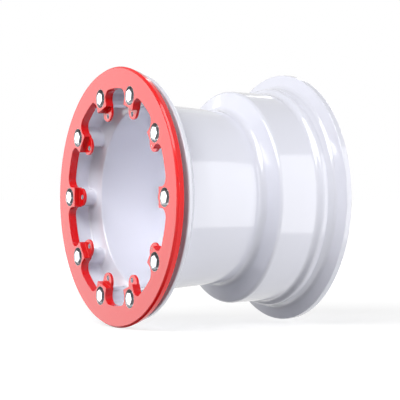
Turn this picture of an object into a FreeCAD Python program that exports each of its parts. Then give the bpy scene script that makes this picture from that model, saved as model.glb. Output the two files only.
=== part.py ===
import FreeCAD, Part
import math
import os

# Beadlock wheel for an all-terrain vehicle, in millimetres.
# The wheel's axis is Y. The clamping ring faces -Y (outboard), +Z is up, and the
# origin is the centre of the hub mounting face, which faces +Y (inboard).
# A depth is measured inboard from the front face of the clamping ring.
# A radius is measured from the wheel's axis.

Vector = FreeCAD.Vector
AXIS = Vector(0, 1, 0)
CENTRE = Vector(0, 0, 0)

# Sizes that place the others: the ring's outside, the far end of the barrel, and
# how far the hub mounting face lies in front of that end
ring_outer_radius = 150.0
barrel_end_depth = 228.7
hub_setback = 86.3

# Hub mounting
hub_thickness = 9.0
lug_count = 4
lug_circle_radius = 55.0
lug_hole_radius = 6.25
lug_seat_radius = 9.0
lug_seat_half_angle = 30.0
lug_first_angle = 45.0
hub_pad_margin = 17.0
centre_bore_setback = 16.0
centre_bore_chamfer = 1.0

# Wheel disc, which runs from the hub pad out to the drop centre
disc_front_rise = 1.9
disc_back_drop = 4.0
disc_slope_share = 0.28
disc_corner_share = 0.546
disc_round = 5.0

# Clamping ring
ring_thickness = 9.8
ring_face_inset = 1.8
ring_edge_wall = 1.0
ring_bevel_depth = 1.85
ring_back_inset = 1.95
ring_back_chamfer = 0.6

# Pads that carry the ring bolts, and the scallops between them
bolt_count = 10
bolt_setback = 29.3
scallop_setback = 25.0
scallop_fillet = 10.0
bolt_pad_half_width = 11.8
bolt_pad_setback = 13.9

# Stepped tabs below the pads
tab_step = 3.05
tab_half_width = 10.8
tab_hole_setback = 21.7
tab_hole_radius = 2.8
tab_end_offset = 4.8
tab_root_fillet = 1.2

# Ring bolts, M8 with a flange, sunk in counterbores as deep as the tabs' step
bolt_shank_radius = 3.9
bolt_length = 20.0
bolt_flange_radius = 10.2
bolt_flange_edge = 1.4
bolt_flange_height = 2.6
bolt_flange_top_radius = 8.6
bolt_head_height = 8.0
bolt_head_sides = 6
bolt_across_flats = 13.0
bolt_top_chamfer = 0.35
bolt_top_half_angle = 60.0
bolt_end_chamfer = 1.0
bolt_hole_clearance = 0.6
bolt_seat_clearance = 0.4

# Thread inserts and the bosses that hold them
boss_radius = 10.0
boss_fillet = 4.0
insert_radius = 6.5
insert_length = 18.0
insert_recess = 0.3
insert_chamfer = 0.5
insert_fit = 0.05
thread_clearance = 0.1
pilot_length = 2.4

# Bead clamp at the outboard end of the barrel
clamp_gap = 8.5
shoulder_setback = 18.5
shoulder_wall = 5.5
shoulder_edge_round = 0.8
shoulder_root_round = 1.5
lip_height = 11.3
lip_edge_round = 1.6
lip_width = 4.6
lip_back_width = 10.4
lip_back_drop = 2.8
lip_back_round = 4.0

# Drop centre
well_setback = 40.4
well_front_slope_width = 5.7
well_front_round = 6.0
well_taper = 0.0832
well_back_round = 9.0
well_wall = 4.8
mouth_setback = 4.0
mouth_corner_setback = 10.0
mouth_corner_round = 3.5
mouth_edge_round = 2.0

# Ramp and flat between the drop centre and the inner bead seat
ramp_width = 9.0
crest_width = 12.5
crest_height = 2.0
crest_drop = 0.3
crest_round = 8.0
crest_slope_width = 13.0
flat_width = 24.2
flat_drop = 6.0
flat_round = 10.0
flat_end_width = 4.6
flat_end_round = 6.0

# Inner bead seat and inner flange
seat_setback = 20.1
seat_front_round = 5.0
seat_front_width = 5.0
groove_depth = 1.0
groove_width = 1.6
seat_back_width = 7.8
seat_rise = 1.5
seat_end_round = 4.0
flange_root_width = 2.0
flange_root_rise = 5.1
flange_flare_width = 6.6
flange_flare_rise = 7.9
flange_flare_round = 5.0
flange_curl_width = 2.8
flange_curl_rise = 2.6
flange_edge_width = 2.7
flange_edge_round = 1.4
flange_back_width = 8.7
flange_edge_wall = 2.8
rear_wall = 4.8

# Tyre valve, which passes through the drop centre on the -X side
valve_setback = 22.0
valve_hole_radius = 5.65
valve_squeeze = 0.4
valve_head_radius = 9.0
valve_head_height = 3.0
valve_head_round = 1.6
valve_seat_allowance = 1.3
valve_collar_radius = 7.0
valve_collar_height = 4.0
valve_neck_radius = 5.9
valve_neck_height = 7.0
valve_body_length = 18.0
valve_body_end_radius = 5.3
valve_air_radius = 1.2
valve_tube_radius = 3.85
valve_tube_reach = 10.0
valve_tube_embed = 2.0
valve_tube_chamfer = 0.4
valve_tube_bore_radius = 1.8
valve_core_fit = 0.05
valve_core_inset = 1.5
valve_core_head_length = 4.0
valve_core_stem_radius = 1.0
valve_core_length = 15.0
valve_core_seal_length = 2.5
valve_cap_wall = 1.1
valve_cap_clearance = 0.15
valve_cap_length = 9.0
valve_cap_chamfer = 0.6
valve_cap_groove_count = 12
valve_cap_groove_radius = 0.4

# Radii that follow from the sizes above
scallop_radius = ring_outer_radius - scallop_setback
bolt_circle_radius = ring_outer_radius - bolt_setback
pitch = 360.0 / bolt_count
bolt_pad_chord_radius = bolt_circle_radius - bolt_pad_setback
tab_hole_circle_radius = bolt_circle_radius - tab_hole_setback
tab_end_centre_radius = tab_hole_circle_radius + tab_end_offset
shoulder_radius = ring_outer_radius - shoulder_setback
front_bore_radius = shoulder_radius - shoulder_wall
lip_radius = shoulder_radius + lip_height
lip_back_radius = shoulder_radius - lip_back_drop
well_front_radius = ring_outer_radius - well_setback
seat_radius = ring_outer_radius - seat_setback
seat_end_radius = seat_radius + seat_rise
flange_root_radius = seat_end_radius + flange_root_rise
flange_flare_radius = flange_root_radius + flange_flare_rise
flange_radius = flange_flare_radius + flange_curl_rise
flat_radius = seat_radius - flat_drop
crest_radius = flat_radius + crest_height
hub_pad_radius = lug_circle_radius + hub_pad_margin
centre_bore_radius = lug_circle_radius - centre_bore_setback

# Depths that follow from the ring's front face
tab_depth = ring_thickness - tab_step
bolt_seat_depth = tab_depth
land_depth = ring_thickness
clamp_depth = land_depth + clamp_gap
lip_back_depth = clamp_depth + lip_width + lip_back_width
well_front_depth = lip_back_depth + well_front_slope_width
mouth_depth = well_front_depth - mouth_setback
mouth_corner_depth = well_front_depth - mouth_corner_setback
insert_start_depth = land_depth + insert_recess
insert_end_depth = insert_start_depth + insert_length

# Depths that follow from the far end of the barrel
flange_edge_depth = barrel_end_depth - flange_edge_width
flange_flare_depth = flange_edge_depth - flange_curl_width
flange_root_depth = flange_flare_depth - flange_flare_width
flange_back_depth = barrel_end_depth - flange_back_width
seat_end_depth = flange_root_depth - flange_root_width
seat_edge_depth = seat_end_depth - seat_back_width
seat_start_depth = seat_edge_depth - seat_front_width
flat_end_depth = seat_start_depth - flat_end_width
flat_start_depth = flat_end_depth - flat_width
crest_end_depth = flat_start_depth - crest_slope_width
ramp_top_depth = crest_end_depth - crest_width
well_back_depth = ramp_top_depth - ramp_width
valve_depth = well_back_depth - valve_setback
hub_face_depth = barrel_end_depth - hub_setback
hub_front_depth = hub_face_depth - hub_thickness
disc_front_depth = hub_front_depth - disc_front_rise
disc_back_depth = hub_face_depth - disc_back_drop


def station(depth):
    """Y coordinate of a depth behind the ring's front face."""
    return depth - hub_face_depth


def well_radius(depth):
    """Outer radius of the tapered drop centre at a depth."""
    return well_front_radius - well_taper * (depth - well_front_depth)


# Where the disc meets the drop centre, and where the valve passes through it
wall_end_radius = well_radius(disc_front_depth) - well_wall
disc_slope_radius = hub_pad_radius + disc_slope_share * (wall_end_radius - hub_pad_radius)
disc_corner_radius = hub_pad_radius + disc_corner_share * (well_radius(well_back_depth)
                                                           - hub_pad_radius)
well_outside = well_radius(valve_depth)
well_inside = well_outside - well_wall


def polar(radial, lateral, depth, angle):
    """Point given along and across the spoke at an angle in degrees."""
    turn = math.radians(angle)
    x = radial * math.cos(turn) - lateral * math.sin(turn)
    z = radial * math.sin(turn) + lateral * math.cos(turn)
    return Vector(x, station(depth), z)


def turned(shape, angle):
    """Copy of a shape, turned about the wheel's axis from +X towards +Z."""
    copy = shape.copy()
    copy.rotate(CENTRE, AXIS, -angle)
    return copy


def arc(start, middle, end):
    """Circular edge through three points."""
    return Part.Arc(start, middle, end).toShape()


def line(start, end):
    """Straight edge between two points."""
    return Part.LineSegment(start, end).toShape()


def corner(before, point, after, size):
    """Start, middle and end of the tangent arc that rounds a corner.

    The arc is no larger than half of either side allows.
    """
    back = before - point
    ahead = after - point
    half = back.getAngle(ahead) / 2.0
    reach = min(size / math.tan(half), 0.49 * back.Length, 0.49 * ahead.Length)
    radius = reach * math.tan(half)
    back.normalize()
    ahead.normalize()
    inward = back + ahead
    inward.normalize()
    middle = point + inward * (radius / math.sin(half) - radius)
    return point + back * reach, middle, point + ahead * reach


def rounded_wire(corners):
    """Closed wire through corners, given as (point, size of its round)."""
    edges = []
    ends = []
    count = len(corners)
    for index in range(count):
        point, size = corners[index]
        if size == 0:
            ends.append((point, point))
            continue
        before = corners[index - 1][0]
        after = corners[(index + 1) % count][0]
        start, middle, end = corner(before, point, after, size)
        edges.append(arc(start, middle, end))
        ends.append((start, end))
    for index in range(count):
        start = ends[index][1]
        end = ends[(index + 1) % count][0]
        edges.append(line(start, end))
    return Part.Wire(Part.__sortEdges__(edges))


def lathe(profile):
    """Solid of revolution about the wheel's axis.

    The profile is a closed list of (depth, radius, round).
    """
    corners = [(Vector(radius, station(depth), 0), size) for depth, radius, size in profile]
    return Part.Face(rounded_wire(corners)).revolve(CENTRE, AXIS, 360)


def prism(edges, start_depth, end_depth):
    """Solid between two depths whose outline lies at the first depth."""
    face = Part.Face(Part.Wire(edges))
    return face.extrude(Vector(0, end_depth - start_depth, 0))


def round_bar(radius, start_depth, end_depth, circle_radius=0.0, angle=0.0):
    """Cylinder along the wheel's axis, at an angle on a circle."""
    foot = polar(circle_radius, 0, start_depth, angle)
    return Part.makeCylinder(radius, end_depth - start_depth, foot, AXIS)


def ring_opening():
    """Outline of the ring's opening at depth zero: scallops, fillets and pads."""
    fillet_radial = math.sqrt((scallop_radius - scallop_fillet) ** 2
                              - (bolt_pad_half_width + scallop_fillet) ** 2)
    fillet_lateral = bolt_pad_half_width + scallop_fillet
    reach = scallop_radius / (scallop_radius - scallop_fillet)
    lean = math.radians(45) + math.atan2(fillet_lateral, fillet_radial) / 2.0
    middle_radial = fillet_radial + scallop_fillet * math.cos(lean)
    middle_lateral = fillet_lateral - scallop_fillet * math.sin(lean)
    edges = []
    for index in range(bolt_count):
        angle = index * pitch
        start = polar(fillet_radial * reach, -fillet_lateral * reach, 0, angle)
        first_side = polar(fillet_radial, -bolt_pad_half_width, 0, angle)
        first_corner = polar(bolt_pad_chord_radius, -bolt_pad_half_width, 0, angle)
        second_corner = polar(bolt_pad_chord_radius, bolt_pad_half_width, 0, angle)
        second_side = polar(fillet_radial, bolt_pad_half_width, 0, angle)
        end = polar(fillet_radial * reach, fillet_lateral * reach, 0, angle)
        following = polar(fillet_radial * reach, -fillet_lateral * reach, 0, angle + pitch)
        edges.append(arc(start, polar(middle_radial, -middle_lateral, 0, angle), first_side))
        edges.append(line(first_side, first_corner))
        edges.append(line(first_corner, second_corner))
        edges.append(line(second_corner, second_side))
        edges.append(arc(second_side, polar(middle_radial, middle_lateral, 0, angle), end))
        edges.append(arc(end, polar(scallop_radius, 0, 0, angle + pitch / 2.0), following))
    return edges


def ring_tab():
    """Stepped tab of the pad at angle zero, with a fillet at the foot of the step."""
    root = bolt_pad_chord_radius + tab_root_fillet
    centre = tab_end_centre_radius
    outline = [
        line(polar(root, -tab_half_width, tab_depth, 0),
             polar(root, tab_half_width, tab_depth, 0)),
        line(polar(root, tab_half_width, tab_depth, 0),
             polar(centre, tab_half_width, tab_depth, 0)),
        arc(polar(centre, tab_half_width, tab_depth, 0),
            polar(centre - tab_half_width, 0, tab_depth, 0),
            polar(centre, -tab_half_width, tab_depth, 0)),
        line(polar(centre, -tab_half_width, tab_depth, 0),
             polar(root, -tab_half_width, tab_depth, 0)),
    ]
    tab = prism(outline, tab_depth, ring_thickness)
    foot = polar(bolt_pad_chord_radius, -tab_half_width, tab_depth, 0)
    wedge = Part.makeBox(tab_root_fillet, tab_root_fillet, 2 * tab_half_width,
                         foot + Vector(-tab_root_fillet, -tab_root_fillet, 0))
    hollow = Part.makeCylinder(tab_root_fillet, 2 * tab_half_width,
                               foot + Vector(-tab_root_fillet, -tab_root_fillet, 0),
                               Vector(0, 0, 1))
    tab = tab.fuse(wedge.cut(hollow))
    hole = round_bar(tab_hole_radius, tab_depth, ring_thickness, tab_hole_circle_radius)
    return tab.cut(hole)


def beadlock_ring():
    """Machined clamping ring with pads, scallops, stepped tabs and counterbored holes."""
    bevel_end = ring_edge_wall + ring_bevel_depth
    face_radius = ring_outer_radius - ring_face_inset
    back_radius = ring_outer_radius - ring_back_inset
    blank = lathe([
        (0, 0, 0),
        (0, face_radius, 0),
        (ring_edge_wall, face_radius, 0),
        (bevel_end, ring_outer_radius, 0),
        (ring_thickness - ring_back_chamfer, back_radius, 0),
        (ring_thickness, back_radius - ring_back_chamfer, 0),
        (ring_thickness, 0, 0),
    ])
    ring = blank.cut(prism(ring_opening(), 0, ring_thickness))
    tab = ring_tab()
    tabs = [turned(tab, index * pitch) for index in range(bolt_count)]
    ring = ring.fuse(tabs).removeSplitter()
    hole_radius = bolt_shank_radius + bolt_hole_clearance
    counterbore_radius = bolt_flange_radius + bolt_seat_clearance
    holes = []
    for index in range(bolt_count):
        angle = index * pitch
        holes.append(round_bar(hole_radius, 0, ring_thickness, bolt_circle_radius, angle))
        holes.append(round_bar(counterbore_radius, 0, bolt_seat_depth, bolt_circle_radius, angle))
    return ring.cut(holes)


def ring_bolt(angle):
    """Flanged hexagon bolt whose flange seats at the bottom of its counterbore."""
    corner_radius = bolt_across_flats / 2.0 / math.cos(math.pi / bolt_head_sides)
    top_slope = math.tan(math.radians(bolt_top_half_angle))
    top_radius = corner_radius - bolt_top_chamfer
    flange = lathe([
        (0, 0, 0),
        (0, bolt_flange_radius, 0),
        (-bolt_flange_edge, bolt_flange_radius, 0),
        (-bolt_flange_height, bolt_flange_top_radius, 0),
        (-bolt_flange_height, 0, 0),
    ])
    side_angle = 360.0 / bolt_head_sides
    points = [polar(corner_radius, 0, 0, side * side_angle) for side in range(bolt_head_sides)]
    outline = [line(points[side - 1], points[side]) for side in range(bolt_head_sides)]
    hexagon = prism(outline, 0, -bolt_head_height)
    turned_top = lathe([
        (0, 0, 0),
        (0, bolt_flange_radius, 0),
        ((bolt_flange_radius - top_radius) / top_slope - bolt_head_height,
         bolt_flange_radius, 0),
        (-bolt_head_height, top_radius, 0),
        (-bolt_head_height, 0, 0),
    ])
    shank = lathe([
        (0, 0, 0),
        (0, bolt_shank_radius, 0),
        (bolt_length - bolt_end_chamfer, bolt_shank_radius, 0),
        (bolt_length, bolt_shank_radius - bolt_end_chamfer, 0),
        (bolt_length, 0, 0),
    ])
    bolt = hexagon.common(turned_top).fuse([flange, shank]).removeSplitter()
    bolt.translate(Vector(bolt_circle_radius, bolt_seat_depth, 0))
    return turned(bolt, angle)


def thread_insert(angle):
    """Steel sleeve that carries a bolt's thread in its boss."""
    bore = bolt_shank_radius + thread_clearance
    sleeve = lathe([
        (insert_start_depth, bore + insert_chamfer, 0),
        (insert_start_depth, insert_radius - insert_chamfer, 0),
        (insert_start_depth + insert_chamfer, insert_radius, 0),
        (insert_end_depth - insert_chamfer, insert_radius, 0),
        (insert_end_depth, insert_radius - insert_chamfer, 0),
        (insert_end_depth, bore, 0),
        (insert_start_depth + insert_chamfer, bore, 0),
    ])
    sleeve.translate(Vector(bolt_circle_radius, 0, 0))
    return turned(sleeve, angle)


def barrel_envelope():
    """Outside of the barrel as a full solid: clamp, drop centre, bead seat and flange."""
    return lathe([
        (land_depth, 0, 0),
        (land_depth, shoulder_radius, shoulder_edge_round),
        (clamp_depth, shoulder_radius, shoulder_root_round),
        (clamp_depth, lip_radius, lip_edge_round),
        (clamp_depth + lip_width, lip_radius, lip_edge_round),
        (lip_back_depth, lip_back_radius, lip_back_round),
        (well_front_depth, well_front_radius, well_front_round),
        (well_back_depth, well_radius(well_back_depth), well_back_round),
        (ramp_top_depth, crest_radius, crest_round),
        (crest_end_depth, crest_radius - crest_drop, flat_round),
        (flat_start_depth, flat_radius, flat_round),
        (flat_end_depth, flat_radius, flat_end_round),
        (seat_start_depth, seat_radius, seat_front_round),
        (seat_edge_depth, seat_radius, 0),
        (seat_edge_depth, seat_radius - groove_depth, 0),
        (seat_edge_depth + groove_width, seat_radius - groove_depth, 0),
        (seat_end_depth, seat_end_radius, seat_end_round),
        (flange_root_depth, flange_root_radius, flange_flare_round),
        (flange_flare_depth, flange_flare_radius, flange_flare_round),
        (flange_edge_depth, flange_radius, flange_edge_round),
        (barrel_end_depth, flange_radius, flange_edge_round),
        (barrel_end_depth, 0, 0),
    ])


def boss_opening():
    """Outline of the mouth between the bosses, at the depth of the front land."""
    fillet_reach = front_bore_radius - boss_fillet
    joined = boss_radius + boss_fillet
    cosine = ((bolt_circle_radius ** 2 + fillet_reach ** 2 - joined ** 2)
              / (2 * bolt_circle_radius * fillet_reach))
    swing = math.degrees(math.acos(cosine))
    edges = []
    for index in range(bolt_count):
        angle = index * pitch
        boss = polar(bolt_circle_radius, 0, land_depth, angle)
        axis_point = Vector(0, station(land_depth), 0)
        marks = []
        for side in (-1, 1):
            fillet_centre = polar(fillet_reach, 0, land_depth, angle + side * swing)
            outward = (fillet_centre - axis_point).normalize()
            towards = (boss - fillet_centre).normalize()
            middle = (outward + towards).normalize()
            marks.append((fillet_centre + outward * boss_fillet,
                          fillet_centre + middle * boss_fillet,
                          fillet_centre + towards * boss_fillet))
        following = polar(front_bore_radius, 0, land_depth, angle + pitch - swing)
        inner = polar(bolt_circle_radius - boss_radius, 0, land_depth, angle)
        edges.append(arc(marks[0][0], marks[0][1], marks[0][2]))
        edges.append(arc(marks[0][2], inner, marks[1][2]))
        edges.append(arc(marks[1][2], marks[1][1], marks[1][0]))
        edges.append(arc(marks[1][0],
                         polar(front_bore_radius, 0, land_depth, angle + pitch / 2.0),
                         following))
    return edges


def outboard_hollow():
    """Space inside the barrel on the ring's side of the disc, less the bosses."""
    hollow = lathe([
        (land_depth, 0, 0),
        (land_depth, front_bore_radius, 0),
        (mouth_corner_depth, front_bore_radius, mouth_corner_round),
        (mouth_depth, well_radius(mouth_depth) - well_wall, mouth_edge_round),
        (disc_front_depth, wall_end_radius, disc_round),
        (disc_front_depth, disc_slope_radius, disc_round),
        (hub_front_depth, hub_pad_radius, disc_round),
        (hub_front_depth, 0, 0),
    ])
    bosses = round_bar(shoulder_radius, land_depth, well_front_depth)
    bosses = bosses.cut(prism(boss_opening(), land_depth, well_front_depth))
    return hollow.cut(bosses)


def inboard_hollow():
    """Space inside the barrel behind the disc, open at the inner flange."""
    return lathe([
        (hub_face_depth, 0, 0),
        (hub_face_depth, hub_pad_radius, 0),
        (disc_back_depth, disc_slope_radius, disc_round),
        (disc_back_depth, disc_corner_radius, disc_round),
        (ramp_top_depth + rear_wall, flat_radius - rear_wall, crest_round),
        (flat_end_depth, flat_radius - rear_wall, flat_round),
        (seat_start_depth + rear_wall, seat_radius - rear_wall, flat_round),
        (flange_back_depth, seat_radius - rear_wall, seat_end_round),
        (barrel_end_depth, flange_radius - flange_edge_wall, 0),
        (barrel_end_depth, 0, 0),
    ])


def rim_barrel():
    """Cast barrel and disc in one piece, with bosses, hub holes and valve hole."""
    barrel = barrel_envelope().cut([outboard_hollow(), inboard_hollow()])
    bore_edge_radius = centre_bore_radius + centre_bore_chamfer
    cuts = [lathe([
        (hub_front_depth, 0, 0),
        (hub_front_depth, bore_edge_radius, 0),
        (hub_front_depth + centre_bore_chamfer, centre_bore_radius, 0),
        (hub_face_depth - centre_bore_chamfer, centre_bore_radius, 0),
        (hub_face_depth, bore_edge_radius, 0),
        (hub_face_depth, 0, 0),
    ])]
    seat_slope = math.tan(math.radians(lug_seat_half_angle))
    seat_length = (lug_seat_radius - lug_hole_radius) / seat_slope
    for index in range(lug_count):
        angle = lug_first_angle + index * 360.0 / lug_count
        foot = polar(lug_circle_radius, 0, hub_front_depth, angle)
        cuts.append(Part.makeCylinder(lug_hole_radius, hub_thickness, foot, AXIS))
        cuts.append(Part.makeCone(lug_seat_radius, lug_hole_radius, seat_length, foot, AXIS))
    for index in range(bolt_count):
        angle = index * pitch
        cuts.append(round_bar(insert_radius + insert_fit, land_depth, insert_end_depth,
                              bolt_circle_radius, angle))
        cuts.append(round_bar(bolt_shank_radius + thread_clearance, insert_end_depth,
                              insert_end_depth + pilot_length, bolt_circle_radius, angle))
    cuts.append(valve_lathe([
        (well_outside + valve_head_height, 0, 0),
        (well_outside + valve_head_height, valve_hole_radius, 0),
        (well_inside - valve_head_height, valve_hole_radius, 0),
        (well_inside - valve_head_height, 0, 0),
    ]))
    return barrel.cut(cuts)


def valve_lathe(profile):
    """Solid of revolution about the valve's axis, which points at the wheel's axis.

    The profile is a closed list of (distance from the wheel's axis, radius, round).
    """
    middle = station(valve_depth)
    corners = [(Vector(-distance, middle + radius, 0), size)
               for distance, radius, size in profile]
    face = Part.Face(rounded_wire(corners))
    return face.revolve(Vector(0, middle, 0), Vector(1, 0, 0), 360)


def valve_body(barrel):
    """Rubber body, squeezed into the valve hole and shaped by the barrel's wall."""
    head_foot = well_outside - valve_seat_allowance
    collar_foot = well_inside + valve_seat_allowance
    body_end = well_inside - valve_body_length
    tube_foot = well_inside + valve_tube_embed
    squeezed = valve_hole_radius + valve_squeeze
    body = valve_lathe([
        (well_outside + valve_head_height, valve_air_radius, 0),
        (well_outside + valve_head_height, valve_head_radius, valve_head_round),
        (head_foot, valve_head_radius, 0),
        (head_foot, squeezed, 0),
        (collar_foot, squeezed, 0),
        (collar_foot, valve_collar_radius, 0),
        (well_inside - valve_collar_height, valve_collar_radius, 0),
        (well_inside - valve_neck_height, valve_neck_radius, 0),
        (body_end, valve_body_end_radius, 0),
        (body_end, valve_tube_radius, 0),
        (tube_foot, valve_tube_radius, 0),
        (tube_foot, valve_air_radius, 0),
    ])
    return body.cut(barrel)


def valve_tube():
    """Brass tube in the rubber body, with the bore that holds the core."""
    foot = well_inside + valve_tube_embed
    end = well_inside - valve_body_length - valve_tube_reach
    return valve_lathe([
        (foot, valve_tube_bore_radius, 0),
        (foot, valve_tube_radius, 0),
        (end + valve_tube_chamfer, valve_tube_radius, 0),
        (end, valve_tube_radius - valve_tube_chamfer, 0),
        (end, valve_tube_bore_radius, 0),
    ])


def valve_core():
    """Core in the tube: threaded head, stem and seal."""
    start = well_inside - valve_body_length - valve_tube_reach + valve_core_inset
    end = start + valve_core_length
    head_radius = valve_tube_bore_radius - valve_core_fit
    return valve_lathe([
        (start, 0, 0),
        (start, head_radius, 0),
        (start + valve_core_head_length, head_radius, 0),
        (start + valve_core_head_length, valve_core_stem_radius, 0),
        (end - valve_core_seal_length, valve_core_stem_radius, 0),
        (end - valve_core_seal_length, head_radius, 0),
        (end, head_radius, 0),
        (end, 0, 0),
    ])


def valve_cap():
    """Plastic cap over the end of the tube, with grip grooves round its side."""
    tube_end = well_inside - valve_body_length - valve_tube_reach
    inner_radius = valve_tube_radius + valve_cap_clearance
    outer_radius = inner_radius + valve_cap_wall
    inner_end = tube_end - valve_cap_clearance
    outer_end = inner_end - valve_cap_wall
    cap_start = outer_end + valve_cap_length
    cap = valve_lathe([
        (cap_start, inner_radius, 0),
        (cap_start, outer_radius, 0),
        (outer_end + valve_cap_chamfer, outer_radius, 0),
        (outer_end, outer_radius - valve_cap_chamfer, 0),
        (outer_end, 0, 0),
        (inner_end, 0, 0),
        (inner_end, inner_radius, 0),
    ])
    grooves = []
    for index in range(valve_cap_groove_count):
        turn = math.radians(index * 360.0 / valve_cap_groove_count)
        foot = Vector(-cap_start, station(valve_depth) + outer_radius * math.cos(turn),
                      outer_radius * math.sin(turn))
        grooves.append(Part.makeCylinder(valve_cap_groove_radius, valve_cap_length,
                                         foot, Vector(1, 0, 0)))
    return cap.cut(grooves)


def main():
    """Write one STEP file for each piece of the wheel."""
    os.makedirs("parts", exist_ok=True)
    barrel = rim_barrel()
    pieces = {
        "rim_barrel": barrel,
        "beadlock_ring": beadlock_ring(),
        "valve_body": valve_body(barrel),
        "valve_tube": valve_tube(),
        "valve_core": valve_core(),
        "valve_cap": valve_cap(),
    }
    for index in range(bolt_count):
        number = "%02d" % (index + 1)
        pieces["ring_bolt_" + number] = ring_bolt(index * pitch)
        pieces["thread_insert_" + number] = thread_insert(index * pitch)
    for name, shape in pieces.items():
        shape.exportStep("parts/" + name + ".step")


main()
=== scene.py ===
import math
import bpy
import numpy as np
from bpy.props import (BoolProperty, FloatProperty, FloatVectorProperty, IntProperty,
                       PointerProperty)
from mathutils.geometry import delaunay_2d_cdt
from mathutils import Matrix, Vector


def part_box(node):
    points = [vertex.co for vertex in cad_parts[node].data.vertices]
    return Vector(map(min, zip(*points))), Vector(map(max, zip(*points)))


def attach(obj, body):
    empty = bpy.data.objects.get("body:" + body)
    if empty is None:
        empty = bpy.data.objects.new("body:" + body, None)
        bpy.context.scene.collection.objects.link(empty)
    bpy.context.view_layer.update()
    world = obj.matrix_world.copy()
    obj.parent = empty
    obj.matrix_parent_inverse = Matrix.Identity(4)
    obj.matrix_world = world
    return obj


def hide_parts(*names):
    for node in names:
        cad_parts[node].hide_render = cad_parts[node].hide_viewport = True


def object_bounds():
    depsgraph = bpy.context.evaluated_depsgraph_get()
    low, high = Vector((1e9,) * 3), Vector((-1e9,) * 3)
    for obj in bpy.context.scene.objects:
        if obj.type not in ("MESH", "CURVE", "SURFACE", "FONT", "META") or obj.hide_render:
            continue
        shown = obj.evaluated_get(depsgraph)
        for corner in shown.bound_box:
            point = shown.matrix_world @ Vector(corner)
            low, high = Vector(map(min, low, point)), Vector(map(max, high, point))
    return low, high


bl_info = {
    "name": "Beadlock wheel",
    "version": (1, 0, 0),
    "blender": (4, 5, 0),
    "location": "3D View > Sidebar > Wheel",
    "description": "Builds the barrel, clamping ring, bolts and valve of a beadlock wheel",
    "category": "Add Mesh",
}

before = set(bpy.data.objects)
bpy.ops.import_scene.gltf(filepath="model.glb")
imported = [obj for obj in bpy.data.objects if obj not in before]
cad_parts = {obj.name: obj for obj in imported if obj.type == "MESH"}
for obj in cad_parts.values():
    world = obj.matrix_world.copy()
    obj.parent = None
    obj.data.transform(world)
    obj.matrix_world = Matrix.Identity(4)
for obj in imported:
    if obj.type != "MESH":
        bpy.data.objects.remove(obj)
cad_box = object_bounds()

# Shapes are worked out in millimetres. A depth is measured along +Y from the front
# face of the clamping ring, and a radius from the wheel's axis. A point across the
# axis is one complex number, with X as its real part and Z as its imaginary part.
MM = 0.001
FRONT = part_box("beadlock_ring")[0][1] / MM

# Depths of the land that the ring lies on, the insert holes' ends and the hub's faces
LAND, INSERT_END, HUB_FRONT, HUB_FACE = 9.8, 28.1, 133.4, 142.4

# Largest turn between two points of a round, and the most of a side that a round takes
FACET, ROUND_SHARE = math.radians(11), 0.49

# Squared length of a face's cross product up to which it has no area
NO_AREA = 1e-14

# Corners of the lathe profiles: depth, radius, size of the round
BARREL_OUTSIDE = [
    (LAND, 131.5, 0.8), (18.3, 131.5, 1.5), (18.3, 142.8, 1.6), (22.9, 142.8, 1.6),
    (33.3, 128.7, 4.0), (39.0, 109.6, 6.0), (138.5, 101.32, 9.0), (147.3, 125.6, 5.0),
    (197.2, 123.9, 6.0), (201.8, 129.9, 5.0), (206.8, 129.9, 0.25), (206.85, 128.9, 0.3),
    (208.4, 128.9, 3.0), (214.6, 131.4, 4.0), (217.0, 134.0, 5.0), (221.6, 147.0, 1.3),
    (228.7, 147.0, 1.2),
]
BARREL_BACK = [
    (228.7, 144.2, 0.8), (220.0, 125.1, 4.0), (206.6, 125.1, 10.0), (197.2, 119.1, 10.0),
    (152.3, 119.1, 8.0), (138.4, 88.0, 5.0), (138.4, 79.0, 5.0), (HUB_FACE, 72.0, 0.8),
]
HUB_BORE = [(HUB_FACE, 39.0, 0.9), (HUB_FRONT, 39.0, 0.9)]
BARREL_FRONT = [
    (HUB_FRONT, 72.0, 5.0), (131.5, 79.0, 5.0), (131.5, 97.1, 5.0), (35.0, 105.13, 2.0),
]

# Corners of the ring's rim: depth, distance in from the outer radius, size of the round
RING_RIM = [(0, 1.8, 0.35), (1.0, 1.8, 0.3), (2.85, 0, 0.6), (9.2, 1.95, 0.4)]

# Panels of the studio: name, place, what they face, width, height
PANELS = (
    ("left_panel", (-1.306, -0.880, 0.05), (0, -0.142, 0), 1.0, 1.3),
    ("right_panel", (1.39, 0.79, 0.1), (0, 0, 0.05), 1.0, 2.2),
    ("top_panel", (0.62, -1.42, 1.36), (0, 0, 0), 2.1, 1.0),
    ("low_panel", (1.64, 0.96, -1.78), (0, 0, 0), 2.8, 2.6),
    ("back_panel", (-1.2, 1.7, 0.6), (0, 0, 0), 1.2, 1.2),
)

# Place of the narrow lamp and what it faces, and the camera's place from the ring's front
BEAM_PLACE, BEAM_AIM = (1.08, -1.33, 0.22), (0.033, -0.135, 0.012)
CAMERA_PLACE = (1.81095, -0.91163, 0.0)


# ---------------------------------------------------------------- settings

def metres(name, default, description):
    """Setting that holds a length."""
    return FloatProperty(name=name, description=description, default=default, unit="LENGTH")


def watts(name, default, description):
    """Setting that holds a lamp's power."""
    return FloatProperty(name=name, description=description, default=default, unit="POWER")


def tint(name, default, description):
    """Setting that holds a colour."""
    return FloatVectorProperty(name=name, description=description, default=default,
                               subtype="COLOR")


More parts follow.
